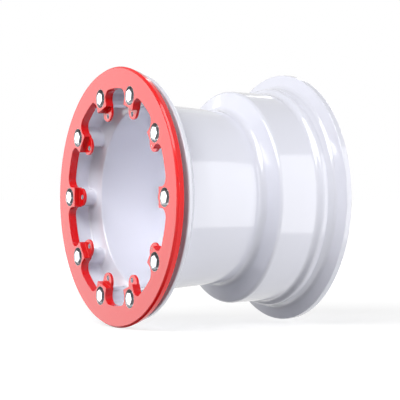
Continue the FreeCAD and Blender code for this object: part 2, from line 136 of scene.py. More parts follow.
class BarrelSizes(bpy.types.PropertyGroup):
    """Sizes of the barrel's mouth, bosses and hub."""
    bore_radius: metres("Mouth radius", 0.126, "Radius of the front bore between the bosses")
    mouth_step: metres("Mouth step", 0.029, "Depth at which the front bore turns to the step")
    boss_radius: metres("Boss radius", 0.010, "Radius of the bosses that hold the thread inserts")
    boss_fillet: metres("Boss fillet", 0.004, "Fillet between a boss and the front bore")
    foot_fillet: metres("Foot fillet", 0.003,
                        "Fillet at the foot of the front bore and the bosses")
    insert_radius: metres("Insert hole radius", 0.00655,
                          "Radius of the holes for the thread inserts")
    lug_count: IntProperty(name="Lug holes", description="Number of lug holes in the hub",
                           default=4)
    lug_circle: metres("Lug circle radius", 0.055, "Radius of the circle of lug holes")
    lug_radius: metres("Lug hole radius", 0.00625, "Radius of a lug hole")
    lug_seat: metres("Lug seat radius", 0.009, "Front radius of a lug hole's conical seat")


class RingSizes(bpy.types.PropertyGroup):
    """Sizes of the clamping ring, its pads and its tabs."""
    outer_radius: metres("Outer radius", 0.150, "Largest radius of the ring")
    thickness: metres("Thickness", 0.0098, "Thickness of the ring")
    scallop_radius: metres("Scallop radius", 0.125, "Inner radius between the pads")
    scallop_fillet: metres("Scallop fillet", 0.010, "Fillet between a scallop and a pad")
    pad_half_width: metres("Pad half width", 0.0118, "Half the width of a pad")
    pad_chord: metres("Pad chord", 0.1068, "Distance from the axis to the inner side of a pad")
    pad_corner: metres("Pad corner", 0.0009, "Round of a pad's inner corners")
    tab_depth: metres("Tab depth", 0.00675, "How far a tab's face lies behind the ring's face")
    tab_half_width: metres("Tab half width", 0.0108,
                           "Half the width of a tab, and the radius of its end")
    tab_end: metres("Tab end", 0.1038, "Distance from the axis to the centre of a tab's round end")
    tab_hole_circle: metres("Tab hole circle", 0.099, "Radius of the circle of holes in the tabs")
    tab_hole_radius: metres("Tab hole radius", 0.0028, "Radius of the hole in a tab")
    edge: metres("Edge round", 0.0004, "Round on the ring's milled edges")


class BoltSizes(bpy.types.PropertyGroup):
    """Sizes of the ring bolts."""
    count: IntProperty(name="Bolts", description="Number of ring bolts", default=10)
    circle: metres("Bolt circle radius", 0.1207, "Radius of the circle of ring bolts")
    across_flats: metres("Across flats", 0.013, "Width of the head across its flats")
    head_height: metres("Head height", 0.008, "Height of the head with its flange")
    flange_radius: metres("Flange radius", 0.0102, "Radius of the bolt's flange")
    seat_radius: metres("Counterbore radius", 0.0106,
                        "Radius of the bolt's counterbore in the ring")
    hole_radius: metres("Hole radius", 0.0045, "Radius of the bolt's hole in the ring")
    shank_radius: metres("Shank radius", 0.0039, "Radius of the bolt's shank")
    length: metres("Length", 0.020, "Length of the bolt under its head")


class FinishColours(bpy.types.PropertyGroup):
    """Colours of the wheel's finishes."""
    coat: tint("Powder coat", (0.87, 0.88, 0.975), "Colour of the barrel's powder coat")
    red: tint("Ring", (0.98, 0.006, 0.008), "Colour of the clamping ring")
    red_cast: tint("Ring's cast", (0.3, 0.04, 0.04), "Colour that the ring casts on the barrel")
    bare: tint("Bare holes", (0.62, 0.63, 0.64),
               "Colour of the bare aluminium in the ring's holes")
    zinc: tint("Bolts", (0.72, 0.73, 0.75), "Colour of the zinc on the bolts")
    steel: tint("Inserts", (0.5, 0.5, 0.52), "Colour of the thread inserts")
    rubber: tint("Valve rubber", (0.022, 0.022, 0.024), "Colour of the valve's body")
    brass: tint("Brass", (0.78, 0.57, 0.28), "Colour of the valve's tube and core")
    plastic: tint("Valve cap", (0.03, 0.03, 0.032), "Colour of the valve's cap")


class StudioSettings(bpy.types.PropertyGroup):
    """Camera, panels and floor of the studio."""
    turn: FloatProperty(name="Camera turn", description="Angle between the camera's view and +Y",
                        default=math.radians(60.506), subtype="ANGLE")
    lens: FloatProperty(name="Lens", description="Focal length in millimetres", default=158.73)
    level: FloatProperty(name="Surround", description="Light that the surround gives",
                         default=0.16)
    left_panel: watts("Left panel", 7.8, "Power of the panel that the ring's face mirrors")
    right_panel: watts("Right panel", 10.5, "Power of the panel that the barrel mirrors")
    top_panel: watts("Top panel", 36.0, "Power of the panel that lights the wheel from above")
    low_panel: watts("Low panel", 30.0, "Power of the panel that lights the barrel from below")
    inner_lamp: watts("Inner lamp", 51.0,
                      "Power of the narrow lamp that lights the barrel's inside")
    back_panel: watts("Back panel", 14.0, "Power of the panel that lights the hub side")
    floor: BoolProperty(name="Floor", description="Whether the wheel stands on a floor",
                        default=True)


class WheelSettings(bpy.types.PropertyGroup):
    """All settings of the beadlock wheel."""
    barrel: PointerProperty(type=BarrelSizes)
    ring: PointerProperty(type=RingSizes)
    bolt: PointerProperty(type=BoltSizes)
    colours: PointerProperty(type=FinishColours)
    studio: PointerProperty(type=StudioSettings)


# ---------------------------------------------------------------- surfaces

def sweep(start, end, steps):
    """Evenly spaced values from start to end, both included."""
    return np.linspace(start, end, steps + 1)


def profile(corners):
    """Points and outward normals of a lathe profile with rounded corners.

    At each corner the two sides are cut back by round / tan(half the angle between
    them), and an arc that touches both fills the gap. Along the arc the direction
    turns evenly from the first side to the second. The normal is that direction
    turned a quarter to the left. The end corners stay as points.
    """
    corners = np.asarray(corners, float)
    last = len(corners) - 1
    points, normals = [], []
    for index in range(last + 1):
        here, size = corners[index, :2], corners[index, 2]
        if index in (0, last):
            side = corners[1, :2] - here if index == 0 else here - corners[-2, :2]
            side = side / np.hypot(*side)
            points.append(here[None])
            normals.append(np.array([[-side[1], side[0]]]))
            continue
        back, ahead = here - corners[index - 1, :2], corners[index + 1, :2] - here
        long_back, long_ahead = np.hypot(*back), np.hypot(*ahead)
        back, ahead = back / long_back, ahead / long_ahead
        turn = math.atan2(back[0] * ahead[1] - back[1] * ahead[0], back @ ahead)
        bend = abs(math.tan(turn / 2))
        reach = min(size * bend, ROUND_SHARE * long_back, ROUND_SHARE * long_ahead)
        steps = max(2, math.ceil(abs(turn) / FACET))
        angle = math.atan2(back[1], back[0]) + sweep(0, turn, steps)
        normal = np.stack([-np.sin(angle), np.cos(angle)], 1)
        radius = math.copysign(reach / bend, turn)
        centre = here - back * reach + radius * normal[0]
        points.append(centre - radius * normal)
        normals.append(normal)
    return np.concatenate(points), np.concatenate(normals)


def bends(corners):
    """Profile without its end corners, which only give the first and last direction."""
    points, normals = profile(corners)
    return points[1:-1], normals[1:-1]


def side_profile(top, back, edge):
    """Profile of a plate's side, with both of its edges rounded."""
    return bends([(top, -10 * edge, 0), (top, 0, edge), (back, 0, edge), (back, -10 * edge, 0)])


def spread(count, radius, shift=0.0):
    """Places spread evenly over a circle, turned on by a share of their pitch."""
    return radius * np.exp(2j * math.pi * (np.arange(count) + shift) / count)


def lathe(rows, normals, angles, centre=0j):
    """Surface of revolution: each profile point (depth, radius) goes round a circle.

    The point at angle a is (radius cos a, depth, radius sin a), moved to the centre,
    and its normal turns with it.
    """
    turn = np.exp(1j * angles)[None]
    return (stack(rows[:, 1, None] * turn + centre, rows[:, 0, None]),
            stack(normals[:, 1, None] * turn, normals[:, 0, None]))


def stack(flat, depth):
    """Points from their place across the axis and their depth along it."""
    return np.stack([flat.real, depth + np.zeros(flat.shape), flat.imag], -1)


def carried(outline, facing, rows, normals):
    """Wall whose profile is carried along an outline.

    A profile point (depth, offset) lies offset outwards from the outline, square to
    it, and its normal mixes the outline's own with the axis in the same way.
    """
    return (stack(outline[None] + rows[:, 1, None] * facing[None], rows[:, 0, None]),
            stack(normals[:, 1, None] * facing[None], normals[:, 0, None]))


def grid(points, normals, closed=True):
    """Patch of four-sided faces over a grid, joined round when it is closed."""
    rows, columns = points.shape[:2]
    row = np.arange(rows - 1)[:, None] * columns
    column = np.arange(columns if closed else columns - 1)[None]
    following = (column + 1) % columns
    faces = np.stack([row + column, row + following,
                      row + columns + following, row + columns + column], -1)
    return points.reshape(-1, 3), normals.reshape(-1, 3), faces.reshape(-1, 4)


def plate(loops, depth, facing):
    """Flat patch at one depth, with any number of edge and hole loops.

    Constrained Delaunay triangles join all points. A triangle is kept when a line
    from its middle crosses the loops an odd number of times.
    """
    flat = np.concatenate(loops)
    starts = np.cumsum([0] + [len(loop) for loop in loops])
    edges = np.concatenate([
        np.stack([np.arange(a, b), np.roll(np.arange(a, b), -1)], 1)
        for a, b in zip(starts[:-1], starts[1:])])
    places = np.stack([flat.real, flat.imag], 1).tolist()
    found = delaunay_2d_cdt(places, edges.tolist(), [], 0, 1e-7, True)
    source = np.array([ids[0] for ids in found[3]])
    faces = source[np.array(found[2])]
    middle = flat[faces].mean(1)[:, None]
    start, end = flat[edges[:, 0]][None], flat[edges[:, 1]][None]
    spans = (start.imag > middle.imag) != (end.imag > middle.imag)
    rise = np.where(end.imag == start.imag, 1.0, end.imag - start.imag)
    meets = start.real + (middle.imag - start.imag) * (end.real - start.real) / rise
    faces = faces[(spans & (meets > middle.real)).sum(1) % 2 == 1]
    points = stack(flat, depth)
    return points, np.broadcast_to([0.0, facing, 0.0], points.shape), faces


def around(patches, count):
    """Copies of patches, turned evenly about the wheel's axis."""
    copies = []
    for turn in spread(count, 1.0):
        for points, normals, faces in patches:
            moved = stack((points[:, 0] + 1j * points[:, 2]) * turn, points[:, 1])
            leant = stack((normals[:, 0] + 1j * normals[:, 2]) * turn, normals[:, 1])
            copies.append((moved, leant, faces))
    return copies


def fused(name, patches, material, node):
    """One mesh from patches: points that coincide are made one, faces follow normals.

    A face whose own direction disagrees with its points' normals is turned over. One
    without area is left out, and one that lost a corner becomes three-sided.
    """
    starts = np.cumsum([0] + [len(patch[0]) for patch in patches])
    points = np.concatenate([patch[0] for patch in patches])
    normals = np.concatenate([patch[1] for patch in patches])
    _, first, same = np.unique(np.round(points, 3), axis=0, return_index=True,
                               return_inverse=True)
    same = same.ravel()
    points, normals = points[first], normals[first]
    faces = []
    for start, patch in zip(starts, patches):
        ids = same[patch[2] + start]
        corners = points[ids]
        across = np.cross(corners[:, 2] - corners[:, 0], corners[:, -1] - corners[:, 1])
        wrong = (across * normals[ids].sum(1)).sum(1) < 0
        ids[wrong] = ids[wrong, ::-1]
        ids = ids[(across ** 2).sum(1) > NO_AREA]
        kept = ids != np.roll(ids, -1, 1)
        whole = kept.all(1)
        faces += ids[whole].tolist() + ids[~whole][kept[~whole]].reshape(-1, 3).tolist()
    points = (points + (0.0, FRONT, 0.0)) * MM
    normals = normals / np.sqrt((normals ** 2).sum(1, keepdims=True))
    mesh = bpy.data.meshes.new(name)
    mesh.from_pydata(points.tolist(), [], faces)
    mesh.shade_smooth()
    mesh.normals_split_custom_set_from_vertices(normals.tolist())
    mesh.materials.append(material)
    piece = bpy.data.objects.new(name, mesh)
    bpy.context.scene.collection.objects.link(piece)
    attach(piece, "root")
    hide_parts(node)
    return piece


def hole(centre, radius, top, bottom, edge, steps, seat=None):
    """Wall of a round hole, with its edges rounded, and its two edge loops.

    With a seat, the hole opens at the top in a cone of 60 degrees, out to that radius.
    """
    lead = 8 * edge
    corners = [(bottom, radius + lead, 0), (bottom, radius, edge), (top, radius, edge),
               (top, radius + lead, 0)]
    if seat:
        corners[2:] = [(top + (seat - radius) * math.sqrt(3), radius, edge),
                       (top, seat, edge), (top, seat + lead, 0)]
    rows, normals = bends(corners)
    angles = sweep(0, 2 * math.pi, steps)[:-1]
    loops = [centre + rows[end, 1] * np.exp(1j * angles) for end in (-1, 0)]
    return grid(*lathe(rows, normals, angles, centre)), loops


# ---------------------------------------------------------------- barrel

def boss_outline(sizes, bolts):
    """Outline of the mouth between the bosses, its normals and matching angles.

    Each pitch is an arc of the front bore, a fillet, the boss, a fillet and the bore
    again. The normals point into the open mouth. The matching angles are where each
    point's column meets a full circle.
    """
    bore, boss = sizes.bore_radius / MM, sizes.boss_radius / MM
    fillet, circle = sizes.boss_fillet / MM, bolts.circle / MM
    reach = bore - fillet
    swing = math.acos((circle ** 2 + reach ** 2 - (boss + fillet) ** 2) / (2 * circle * reach))
    half = math.pi / bolts.count
    low = reach * np.exp(-1j * swing)
    lean = np.angle(circle - low)
    before = sweep(-half, -swing, 5)[:-1]
    turn_in = sweep(-swing, lean, 7)[:-1]
    over = sweep(lean - math.pi, -math.pi - lean, 16)[:-1]
    turn_out = sweep(-lean, swing, 7)[:-1]
    after = sweep(swing, half, 5)[:-1]
    facing = [-np.exp(1j * before), -np.exp(1j * turn_in), np.exp(1j * over),
              -np.exp(1j * turn_out), -np.exp(1j * after)]
    outline = np.concatenate([-bore * facing[0], low - fillet * facing[1],
                              circle + boss * facing[2], np.conj(low) - fillet * facing[3],
                              -bore * facing[4]])
    columns = len(turn_in) + len(over) + len(turn_out)
    angles = np.concatenate([before, sweep(-swing, swing, columns)[:-1], after])
    turns = 2 * half * np.arange(bolts.count)[:, None]
    return ((outline[None] * np.exp(1j * turns)).ravel(),
            (np.concatenate(facing)[None] * np.exp(1j * turns)).ravel(),
            (angles[None] + turns).ravel())


def mouth(sizes, bolts, edge_depth, edge_radius):
    """Front bore and bosses, from the land down to the step and in to its edge.

    The wall is carried along the outline, with its front edge rounded. Its foot meets
    the step, a cone from the front bore to the edge, in a hollow round: from the
    wall, the points move off it while the depth closes on the cone's. From there the
    rows close in on the edge's circle, each at the cone's depth for its radius.
    """
    outline, facing, angles = boss_outline(sizes, bolts)
    step, edge, foot = sizes.mouth_step / MM, 0.6, sizes.foot_fillet / MM
    bore = sizes.bore_radius / MM
    slope = (edge_depth - step) / (bore - edge_radius)

    def cone(radius):
        """Depth of the step at a radius."""
        return edge_depth - slope * (radius - edge_radius)

    turn = sweep(0, math.pi / 2, 6)[:, None]
    depth = LAND + edge * (1 - np.cos(turn))
    flat = outline[None] - edge * (1 - np.sin(turn)) * facing[None]
    top = stack(flat, depth)
    top_normals = stack(np.sin(turn) * facing[None], -np.cos(turn))
    turn = sweep(0, math.pi / 2, 7)[:, None]
    away = foot * (1 - np.cos(turn))
    flat = outline[None] + away * facing[None]
    floor = cone(abs(flat))
    depth = floor - foot * (1 - np.sin(turn))
    low = stack(flat, depth)
    steep = math.hypot(1, slope)
    radial = flat / abs(flat)
    mix = np.sin(turn)
    low_flat = (1 - mix) * facing[None] - mix * slope / steep * radial
    low_lean = -mix / steep
    size = np.sqrt(abs(low_flat) ** 2 + low_lean ** 2)
    low_normals = stack(low_flat / size, low_lean / size)
    share = sweep(0, 1, 5)[1:, None]
    start = flat[-1]
    radius = abs(start) + share * (edge_radius - abs(start))
    swing = np.angle(start / np.exp(1j * angles)) * (1 - share) + angles
    flat = radius * np.exp(1j * swing)
    step_rows = stack(flat, cone(radius))
    step_normals = stack(-slope / steep * flat / abs(flat), -1 / steep)
    patch = grid(np.concatenate([top, low, step_rows]),
                 np.concatenate([top_normals, low_normals, step_normals]))
    return patch, outline - edge * facing, angles


def barrel_patches(sizes, bolts):
    """All surfaces of the barrel, from the land round its outside to the mouth."""
    step_corner = (sizes.mouth_step / MM, sizes.bore_radius / MM, 0)
    outside, outside_normals = bends([(LAND, 120.0, 0)] + BARREL_OUTSIDE + BARREL_BACK
                                     + [(HUB_FACE, 60.0, 0)])
    hub, hub_normals = bends([(HUB_FACE, 50.0, 0)] + HUB_BORE + [(HUB_FRONT, 50.0, 0)])
    inside, inside_normals = bends([(HUB_FRONT, 60.0, 0)] + BARREL_FRONT + [step_corner])
    front_patch, land_loop, angles = mouth(sizes, bolts, *inside[-1])
    patches = [front_patch]
    for rows, normals in ((outside, outside_normals), (hub, hub_normals),
                          (inside, inside_normals)):
        patches.append(grid(*lathe(rows, normals, angles)))
    top_loops, back_loops, front_loops = [], [], []
    for centre in spread(bolts.count, bolts.circle / MM):
        wall, loops = hole(centre, sizes.insert_radius / MM, LAND, INSERT_END, edge=0.2,
                           steps=28)
        patches += [wall, plate([loops[1]], INSERT_END, -1)]
        top_loops.append(loops[0])
    for centre in spread(sizes.lug_count, sizes.lug_circle / MM, 0.5):
        wall, loops = hole(centre, sizes.lug_radius / MM, HUB_FRONT, HUB_FACE, edge=0.3,
                           steps=40, seat=sizes.lug_seat / MM)
        patches.append(wall)
        front_loops.append(loops[0])
        back_loops.append(loops[1])
    circle = np.exp(1j * angles)
    return patches + [
        plate([outside[0, 1] * circle, land_loop] + top_loops, LAND, -1),
        plate([outside[-1, 1] * circle, hub[0, 1] * circle] + back_loops, HUB_FACE, 1),
        plate([inside[0, 1] * circle, hub[-1, 1] * circle] + front_loops, HUB_FRONT, -1)]


# ---------------------------------------------------------------- clamping ring

def ring_outline(ring, count):
    """Outline of the ring's opening and its normals, which point into the opening.

    Each pitch is an arc of the scallop, its fillet, the side of a pad, the pad's
    chord with rounded corners, and the same mirrored.
    """
    scallop, fillet = ring.scallop_radius / MM, ring.scallop_fillet / MM
    width, chord, corner = ring.pad_half_width / MM, ring.pad_chord / MM, ring.pad_corner / MM
    radial = math.sqrt((scallop - fillet) ** 2 - (width + fillet) ** 2)
    low = radial - 1j * (width + fillet)
    over = sweep(-math.pi / count, np.angle(low), 10)[:-1]
    turn_in = sweep(np.angle(low), math.pi / 2, 14)[:-1]
    turn_off = sweep(-math.pi / 2, -math.pi, 6)
    foot, corner_low = radial - 1j * width, chord + corner - 1j * (width - corner)
    side = foot + sweep(0, 1, 4)[1:-1] * (corner_low - 1j * corner - foot)
    part = np.concatenate([scallop * np.exp(1j * over), low + fillet * np.exp(1j * turn_in),
                           [foot], side, corner_low + corner * np.exp(1j * turn_off),
                           [chord - 0.5j * width]])
    facing = np.concatenate([-np.exp(1j * over), -np.exp(1j * turn_in), [-1j], -1j + 0 * side,
                             np.exp(1j * turn_off), [-1]])
    outline = np.concatenate([part, [chord], np.conj(part[:0:-1])])
    facing = np.concatenate([facing, [-1], np.conj(facing[:0:-1])])
    turns = spread(count, 1.0)[:, None]
    return (outline[None] * turns).ravel(), (facing[None] * turns).ravel()


def tab_patches(ring):
    """One stepped tab: a plate with a round end and rounded edges, and its hole's wall.

    Its root lies inside the pad by twice the edge's round, so the flat backs of tab
    and ring meet in one line.
    """
    edge, top, back = ring.edge / MM, ring.tab_depth / MM, ring.thickness / MM
    width, end, corner = ring.tab_half_width / MM, ring.tab_end / MM, 0.6
    quarter = np.exp(1j * sweep(0, math.pi / 2, 4))
    half_turn = np.exp(1j * sweep(math.pi / 2, 1.5 * math.pi, 28))
    upper = ring.pad_chord / MM + 2 * edge - corner + 1j * (width - corner)
    lower = np.conj(quarter[::-1])
    outline = np.concatenate([upper + corner * quarter, end + width * half_turn,
                              np.conj(upper) + corner * lower])
    facing = np.concatenate([quarter, half_turn, lower])
    patches = [grid(*carried(outline, facing, *side_profile(top, back, edge)))]
    wall, loops = hole(ring.tab_hole_circle / MM + 0j, ring.tab_hole_radius / MM, top, back,
                       edge=0.3, steps=28)
    inner = outline - edge * facing
    patches += [plate([inner, loops[0]], top, -1), plate([inner, loops[1]], back, 1)]
    return patches, [wall]


def tab_root(ring, size=0.5, inset=0.3):
    """Hollow round at the foot of a pad's step, as an arc between the tab's sides.

    The arc runs from the step's wall to the tab's face and touches both. It stops
    short of the tab's sides by the inset.
    """
    chord, top, width = ring.pad_chord / MM, ring.tab_depth / MM, ring.tab_half_width / MM
    turn = sweep(0, math.pi / 2, 6)
    depth = top - size + size * np.sin(turn)
    radial = chord - size + size * np.cos(turn)
    flat = radial[None] + 1j * np.array([[inset - width], [width - inset]])
    normals = stack(-np.cos(turn)[None] + 0 * flat, -np.sin(turn))
    return grid(stack(flat, depth), normals, closed=False)


def ring_patches(ring, bolts):
    """Coloured surfaces of the clamping ring, and the bare walls of its holes."""
    outline, facing = ring_outline(ring, bolts.count)
    outer, back, edge = ring.outer_radius / MM, ring.thickness / MM, ring.edge / MM
    seat, sink_radius = ring.tab_depth / MM, bolts.seat_radius / MM
    angles = sweep(0, 2 * math.pi, 400)[:-1]
    rim, rim_normals = bends(
        [(0, outer - 20, 0)] + [(depth, outer - inset, size) for depth, inset, size in RING_RIM]
        + [(back, outer - 2.55, 0.3), (back, outer - 20, 0)])
    patches = [grid(*lathe(rim, rim_normals, angles)),
               grid(*carried(outline, facing, *side_profile(0, back, edge)))]
    sink, sink_normals = bends([(seat, 5.5, 0), (seat, sink_radius, 0.4), (0, sink_radius, 0.25),
                                (0, 14.0, 0)])
    sink_angles = sweep(0, 2 * math.pi, 60)[:-1]
    front_loops, back_loops, bare = [], [], []
    for centre in spread(bolts.count, bolts.circle / MM):
        bore, loops = hole(centre, bolts.hole_radius / MM, seat, back, edge=0.3, steps=40)
        sink_loops = centre + sink[:, 1, None] * np.exp(1j * sink_angles)
        bare += [grid(*lathe(sink, sink_normals, sink_angles, centre)), bore,
                 plate([sink_loops[0], loops[0]], seat, -1)]
        front_loops.append(sink_loops[-1])
        back_loops.append(loops[1])
    circle = np.exp(1j * angles)
    inner = outline - edge * facing
    patches += [plate([rim[0, 1] * circle, inner] + front_loops, 0, -1),
                plate([rim[-1, 1] * circle, inner] + back_loops, back, 1)]
    tab, bore = tab_patches(ring)
    return (patches + around(tab + [tab_root(ring)], bolts.count),
            bare + around(bore, bolts.count))


# ---------------------------------------------------------------- bolts

def bolt_patches(bolts, turn):
    """A flanged hexagon bolt on the wheel's axis, its head turned by an angle.

    The flange and shank are one lathe profile. The head's outline is a hexagon with
    rounded corners. Its wall stops where a 30 degree cone cuts it: at head height,
    less the cone's drop at the outline's distance from the axis. The head's top has
    a shallow round dish.
    """
    flat, height = bolts.across_flats / 2 / MM, bolts.head_height / MM
    flange, shank, length = bolts.flange_radius / MM, bolts.shank_radius / MM, bolts.length / MM
    collar, collar_radius, tip = 2.6, 8.6, 1.0
    body = profile([
        (-collar, 5.0, 0), (-collar, collar_radius, 0.5), (-collar / 2, flange, 0.6),
        (0, flange, 0.3), (0, shank, 0.3), (length - tip, shank, 0.3),
        (length, shank - tip, 0.3), (length, 0.0, 0)])
    small, bevel, cone_inset, dish_inset, dish_depth = 0.45, 0.2, 0.35, 0.9, 0.34
    corner, sixth = (flat - small) / math.cos(math.pi / 6), math.pi / 3
    bend = np.exp(1j * sweep(-sixth / 2, sixth / 2, 4))
    arc = corner + small * bend
    side = arc[-1] + sweep(0, 1, 9)[1:-1] * (np.conj(arc[-1]) * np.exp(1j * sixth) - arc[-1])
    turns = np.exp(1j * (turn + sixth * np.arange(6)))[:, None]
    outline = (np.concatenate([arc, side])[None] * turns).ravel()
    facing = (np.concatenate([bend, np.exp(1j * sixth / 2) + 0 * side])[None] * turns).ravel()
    reach = abs(outline)
    radial = outline / reach
    cone_end = corner + small - cone_inset
    slope = math.tan(math.pi / 6)
    top = -height + np.maximum(reach - cone_end, 0) * slope
    share = np.clip((reach - cone_end) / 0.3, 0, 1)
    inner = np.minimum(reach - 1.6 * bevel, cone_end - 0.1)
    dish = inner - dish_inset
    flush, sunk = -height, -height + dish_depth
    # Depth, place and normal of each row: the wall, its bevel, the rim and the dish
    rows = [(0.3 - collar, outline, facing, 0),
            (top + bevel, outline, facing, 0),
            (np.maximum(top - bevel * slope, flush + 0.3 * bevel), outline - bevel * radial,
             radial * (0.3 + 0.2 * share), -1),
            (flush, inner * radial, 0 * radial, -1),
            (flush, dish * radial, 0 * radial, -1),
            (sunk - 0.06, (dish - 0.45) * radial, -0.35 * radial, -1),
            (sunk, (dish - 0.8) * radial, 0 * radial, -1),
            (sunk, 0 * radial, 0 * radial, -1)]
    points = np.stack([stack(flat_points, depth) for depth, flat_points, _, _ in rows])
    normals = np.stack([stack(out, lean) for _, _, out, lean in rows])
    return [grid(*lathe(*body, sweep(0, 2 * math.pi, 72)[:-1])), grid(points, normals)]


def placed(patches, centre, depth):
    """Patches moved across the axis to a centre, and in by a depth."""
    shift = np.array([centre.real, depth, centre.imag])
    return [(points + shift, normals, faces) for points, normals, faces in patches]


# ---------------------------------------------------------------- finishes

def add(tree, kind, **values):
    """A node with values on its input sockets, whose names have spaces for underscores."""
    node = tree.nodes.new(kind)
    for name, value in values.items():
        node.inputs[name.replace("_", " ")].default_value = value
    return node


def maths(tree, operation, *values):
    """A Math node with values on its first inputs."""
    node = tree.nodes.new("ShaderNodeMath")
    node.operation = operation
    for socket, value in zip(node.inputs, values):
        socket.default_value = value
    return node


def wire(tree, *links):
    """Links sockets: each link names a node, its output, another node and its input."""
    for source, output, target, entry in links:
        tree.links.new(source.outputs[output], target.inputs[entry])


def empty_tree(owner):
    """Node tree of a material or world, without its first nodes."""
    owner.use_nodes = True
    owner.node_tree.nodes.clear()
    return owner.node_tree


def grain_group():
    """Node group for a coat's fine waves: varied roughness and a bumped normal."""
    if "coat_grain" in bpy.data.node_groups:
        return bpy.data.node_groups["coat_grain"]
    group = bpy.data.node_groups.new("coat_grain", "ShaderNodeTree")
    for name, value in (("Size", 0.002), ("Height", 0.00001), ("Roughness", 0.1),
                        ("Variation", 0.03)):
        socket = group.interface.new_socket(name, in_out="INPUT", socket_type="NodeSocketFloat")
        socket.default_value = value
    for name, kind in (("Roughness", "NodeSocketFloat"), ("Normal", "NodeSocketVector")):
        group.interface.new_socket(name, in_out="OUTPUT", socket_type=kind)
    entry, leave = group.nodes.new("NodeGroupInput"), group.nodes.new("NodeGroupOutput")
    place = add(group, "ShaderNodeTexCoord")
    scale = maths(group, "DIVIDE", 1.0)
    waves = add(group, "ShaderNodeTexNoise", Detail=2.0, Roughness=0.5)
    smudge = add(group, "ShaderNodeTexNoise", Scale=28.0, Detail=4.0, Roughness=0.6)
    bump = add(group, "ShaderNodeBump", Strength=1.0)
    centred, vary = maths(group, "SUBTRACT", 0.5, 0.5), maths(group, "MULTIPLY_ADD")
    wire(group,
         (entry, "Size", scale, 1), (scale, 0, waves, "Scale"),
         (place, "Object", waves, "Vector"), (place, "Object", smudge, "Vector"),
         (waves, "Fac", bump, "Height"), (entry, "Height", bump, "Distance"),
         (smudge, "Fac", centred, 0), (centred, 0, vary, 0),
         (entry, "Variation", vary, 1), (entry, "Roughness", vary, 2),
         (vary, 0, leave, "Roughness"), (bump, "Normal", leave, "Normal"))
    return group


def finish_material(name, colour, roughness, grain, shade=0.04, metallic=0.0, coat=0.0,
                    cast=None):
    """Material with the grain group: (size, height, variation) of its waves in metres.

    The colour varies by the shade over the surface. Where cast is given, it is the
    colour that the finish casts on what is near it.
    """
    material = bpy.data.materials.get(name) or bpy.data.materials.new(name)
    tree = empty_tree(material)
    out = add(tree, "ShaderNodeOutputMaterial")
    shader = add(tree, "ShaderNodeBsdfPrincipled", Metallic=metallic, IOR=1.5, Coat_Weight=coat,
                 Coat_Roughness=0.04, Coat_IOR=1.5)
    waves = tree.nodes.new("ShaderNodeGroup")
    waves.node_tree = grain_group()
    for socket, value in zip(("Size", "Height", "Variation", "Roughness"), (*grain, roughness)):
        waves.inputs[socket].default_value = value
    place = add(tree, "ShaderNodeTexCoord")
    cloud = add(tree, "ShaderNodeTexNoise", Scale=9.0, Detail=3.0, Roughness=0.55)
    ramp = add(tree, "ShaderNodeValToRGB")
    dark, light = ramp.color_ramp.elements
    dark.position, light.position = 0.35, 0.65
    dark.color = (*(channel * (1 - shade) for channel in colour), 1.0)
    light.color = (*colour, 1.0)
    wire(tree,
         (place, "Object", cloud, "Vector"), (cloud, "Fac", ramp, "Fac"),
         (ramp, "Color", shader, "Base Color"), (waves, "Roughness", shader, "Roughness"),
         (waves, "Normal", shader, "Normal"), (shader, "BSDF", out, "Surface"))
    if cast:
        path, mix = add(tree, "ShaderNodeLightPath"), add(tree, "ShaderNodeMix")
        mix.data_type = "RGBA"
        factor, shown, other, mixed = 0, 6, 7, 2
        mix.inputs[other].default_value = (*cast, 1.0)
        wire(tree,
             (path, "Is Diffuse Ray", mix, factor), (ramp, "Color", mix, shown),
             (mix, mixed, shader, "Base Color"))
    return material


def dress(node, material):
    """Gives a CAD node its finish."""
    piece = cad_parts[node]
    for slot in piece.material_slots:
        slot.material = material
    if not piece.material_slots:
        piece.data.materials.append(material)


# ---------------------------------------------------------------- operators

class WHEEL_OT_barrel(bpy.types.Operator):
    """Build the barrel with its bosses, disc and hub"""
    bl_idname = "wheel.barrel"
    bl_label = "Barrel"

    def execute(self, context):
        wheel = context.scene.wheel
        coat = finish_material("white_powder_coat", wheel.colours.coat, 0.14,
                               (0.0032, 0.000004, 0.05), shade=0.015, coat=1.0)
        fused("barrel_shell", barrel_patches(wheel.barrel, wheel.bolt),
              coat, "rim_barrel")
        return {"FINISHED"}


class WHEEL_OT_ring(bpy.types.Operator):
    """Build the clamping ring with its scallops, pads and stepped tabs"""
    bl_idname = "wheel.ring"
    bl_label = "Clamping ring"

    def execute(self, context):
        wheel = context.scene.wheel
        red = finish_material("red_anodise", wheel.colours.red, 0.12,
                              (0.0018, 0.000002, 0.04), shade=0.03, cast=wheel.colours.red_cast)
        bare = finish_material("bare_aluminium", wheel.colours.bare, 0.3,
                               (0.0006, 0.000003, 0.08), shade=0.1, metallic=1.0)
        patches, seats = ring_patches(wheel.ring, wheel.bolt)
        fused("clamping_ring", patches, red, "beadlock_ring")
        fused("bare_bores", seats, bare, "beadlock_ring")
        return {"FINISHED"}


